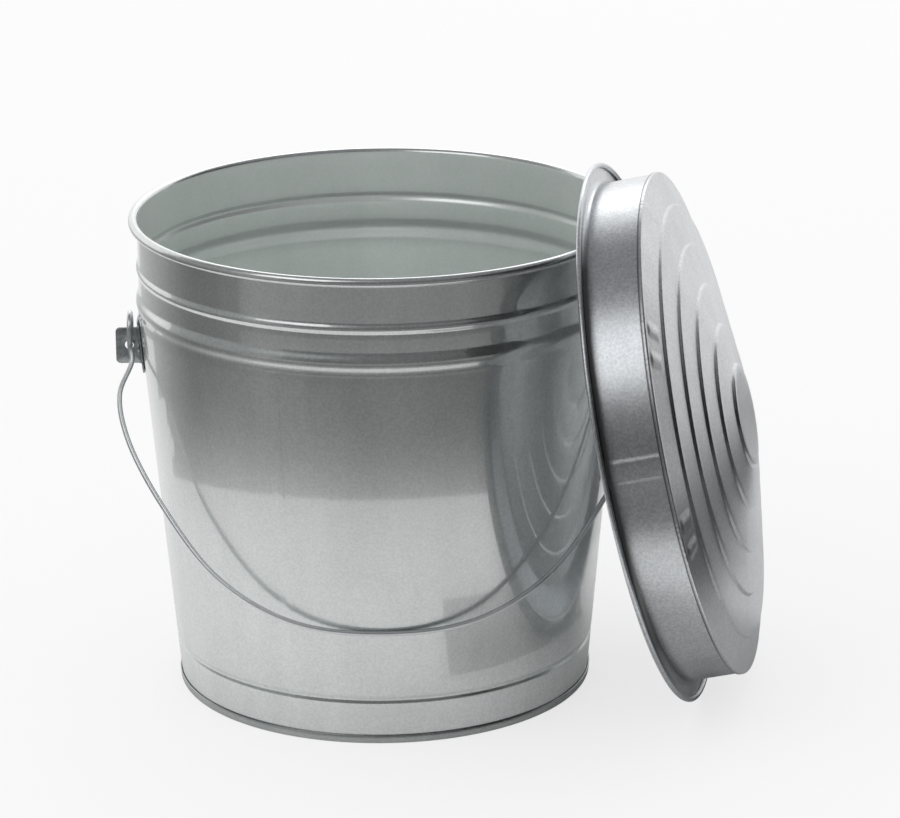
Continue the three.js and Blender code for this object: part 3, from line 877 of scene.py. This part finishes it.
tones.data.foreach_set("value", ring_tones)
dark_floor = bpy.data.objects.new("dark_floor", mesh)
scene.collection.objects.link(dark_floor)
paint = bpy.data.materials.new("dark_floor")
paint.use_nodes = True
tone_value = paint.node_tree.nodes.new("ShaderNodeAttribute")
tone_value.attribute_name = "tone"
paint_shader = paint.node_tree.nodes["Principled BSDF"]
paint.node_tree.links.new(tone_value.outputs["Fac"], paint_shader.inputs["Base Color"])
paint_shader.inputs["Roughness"].default_value = 0.9
paint_shader.inputs["Specular IOR Level"].default_value = 0.0
mesh.materials.append(paint)
seen_in_metal_only(dark_floor)

# Dark studio walls and ceiling that the metal shows; white paper hangs behind the can.
for name, corners, colour in (
        ("ceiling", [(-3, -3, 2.3), (3, -3, 2.3), (3, 1.5, 2.3), (-3, 1.5, 2.3)],
         (0.3, 0.3, 0.31)),
        ("front_wall", [(-3, -3, 0), (3, -3, 0), (3, -3, 2.3), (-3, -3, 2.3)],
         (0.16, 0.165, 0.165)),
        ("left_wall", [(-3, -3, 0), (-3, 1.2, 0), (-3, 1.2, 2.3), (-3, -3, 2.3)],
         (0.35, 0.36, 0.36)),
        ("right_wall", [(2.5, -3, 0), (2.5, 1.6, 0), (2.5, 1.6, 2.3), (2.5, -3, 2.3)],
         (0.02, 0.02, 0.021))):
    wall_card = card(name, corners, colour)
    seen_in_metal_only(wall_card)

world = bpy.data.worlds.new("studio")
scene.world = world
world.use_nodes = True
world_nodes = world.node_tree.nodes
world_links = world.node_tree.links
background = world_nodes["Background"]
light_path = world_nodes.new("ShaderNodeLightPath")
straight_seen = world_nodes.new("ShaderNodeMath")
straight_seen.operation = "MAXIMUM"
world_links.new(light_path.outputs["Is Camera Ray"], straight_seen.inputs[0])
world_links.new(light_path.outputs["Is Glossy Ray"], straight_seen.inputs[1])
strength = world_nodes.new("ShaderNodeMapRange")
strength.inputs["To Min"].default_value = 0.85
strength.inputs["To Max"].default_value = 1.0
world_links.new(straight_seen.outputs[0], strength.inputs["Value"])
world_links.new(strength.outputs["Result"], background.inputs["Strength"])
background.inputs["Color"].default_value = (1, 1, 1, 1)


def soft_lamp(name, place, aim, width, height, power):
    """A rectangular soft box at a place, in metres, aimed at a point; power in watts."""
    data = bpy.data.lights.new(name, "AREA")
    data.shape = "RECTANGLE"
    data.size = width
    data.size_y = height
    data.energy = power
    lamp = bpy.data.objects.new(name, data)
    scene.collection.objects.link(lamp)
    lamp.location = place
    lamp.rotation_euler = (Vector(aim) - Vector(place)).to_track_quat("-Z", "Y").to_euler()
    return lamp


soft_lamp("left_softbox", (-1.0, -1.05, 1.65), (0, 0, 0.1), 1.2, 1.2, 5.6)
soft_lamp("back_softbox", (0.3, 2.2, 1.6), (0.2, 0.5, 0), 1.6, 0.9, 6)

camera_data = bpy.data.cameras.new("camera")
camera = bpy.data.objects.new("camera", camera_data)
scene.collection.objects.link(camera)
camera_data.sensor_fit = "HORIZONTAL"
camera_data.sensor_width = 36
camera_data.lens = 163.875
camera_data.clip_start = 0.05
camera_place = (0, -2.33156, 0.92733)
right = Vector((0.99977342, -0.01994438, -0.00743795))
up = Vector((0.0132737, 0.3109761, 0.95032504))
forward = Vector((0.01664062, 0.95020844, -0.31117038))
turn = Matrix((right, up, -forward)).transposed()
camera.matrix_world = Matrix.Translation(camera_place) @ turn.to_4x4()
scene.camera = camera
